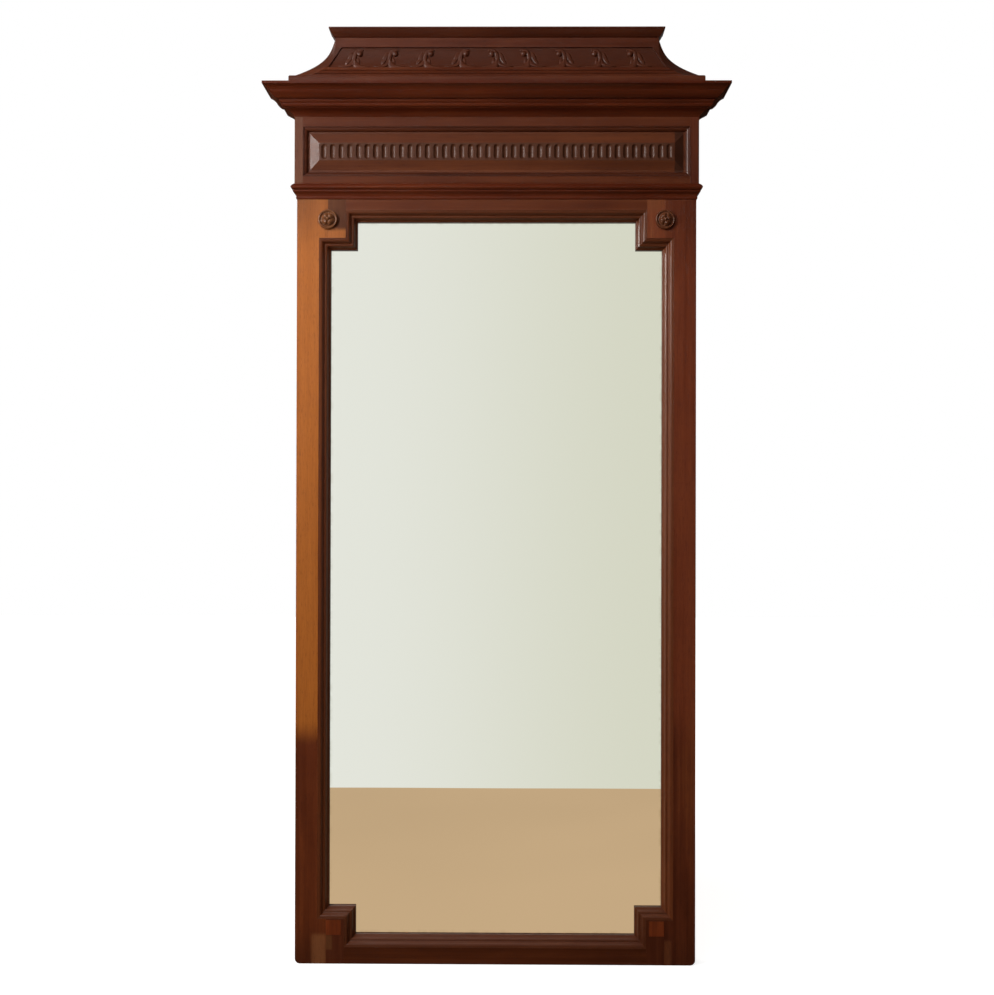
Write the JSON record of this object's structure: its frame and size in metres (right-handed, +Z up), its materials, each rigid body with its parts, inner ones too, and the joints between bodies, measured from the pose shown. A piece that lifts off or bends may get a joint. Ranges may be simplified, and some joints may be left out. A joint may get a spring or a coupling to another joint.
{
  "type": "trumeau mirror",
  "caption": "Tall wall mirror in a stepped walnut frame with rosettes, a fluted frieze, a moulded cornice and a carved crest.",
  "frame": {"origin": "bottom centre of the back plane that lies against the wall, at the foot of the frame", "axes": "+Z up along the height, +X to the right seen from the front, +Y into the wall, so the glass faces -Y"},
  "size_m": [0.98, 0.113, 1.993],
  "materials": {
    "walnut": "aged shellac, satin",
    "walnut_moulding": "aged shellac, satin, dark in the quirks",
    "square_patera": "red-stained, satin",
    "mirror_plate": "polished plate",
    "silvering": "silvered, lightly foxed at the edges, painted behind",
    "pine": "bare, aged",
    "steel": "dull",
    "brass": "tarnished"
  },
  "bodies": {
    "frame": {"left_stile": "walnut", "right_stile": "walnut", "top_rail": "walnut", "bottom_rail": "walnut", "upper_left_block": "walnut", "upper_right_block": "walnut", "lower_left_block": "walnut", "lower_right_block": "walnut", "corner_tiles": "square_patera", "left_sight_moulding": "walnut_moulding", "right_sight_moulding": "walnut_moulding", "top_sight_moulding": "walnut_moulding", "bottom_sight_moulding": "walnut_moulding", "upper_left_notch_moulding": "walnut_moulding", "upper_right_notch_moulding": "walnut_moulding", "lower_left_notch_moulding": "walnut_moulding", "lower_right_notch_moulding": "walnut_moulding", "left_rosette": "walnut_moulding", "right_rosette": "walnut_moulding", "mirror_glass": "mirror_plate", "silvering": "silvering", "glazing_blocks": "pine", "left_backboard": "pine", "middle_backboard": "pine", "right_backboard": "pine", "backboard_screws": "steel", "architrave_front": "walnut", "architrave_left": "walnut", "architrave_right": "walnut", "frieze_left_stile": "walnut", "frieze_right_stile": "walnut", "frieze_top_rail": "walnut", "frieze_bottom_rail": "walnut", "frieze_panel": "walnut", "frieze_beads": "walnut", "frieze_left_side": "walnut", "frieze_right_side": "walnut", "base_board": "pine", "hanging_rail": "pine", "cornice_front": "walnut", "cornice_left": "walnut", "cornice_right": "walnut", "dust_board": "pine", "glue_blocks": "pine", "battens": "pine", "carcass_screws": "steel", "crest_plinth": "walnut", "crest_front": "walnut", "crest_left_end": "walnut", "crest_right_end": "walnut", "crest_carving": "walnut_moulding", "crest_cap_front": "walnut", "crest_cap_left": "walnut", "crest_cap_right": "walnut", "crest_top_board": "pine", "crest_back_board": "pine", "hanger_plates": "brass", "hanger_screws": "brass"},
    "left_ring": {"left_ring": "brass"},
    "right_ring": {"right_ring": "brass"}
  },
  "joints": [
    {"name": "left_ring_swing", "type": "hinge", "parent": "frame", "child": "left_ring", "pos_m": [-0.345, -0.0127, 1.731], "axis": [1, 0, 0], "range_deg": [0, 180]},
    {"name": "right_ring_swing", "type": "hinge", "parent": "frame", "child": "right_ring", "pos_m": [0.345, -0.0127, 1.731], "axis": [1, 0, 0], "range_deg": [0, 180]}
  ]
}
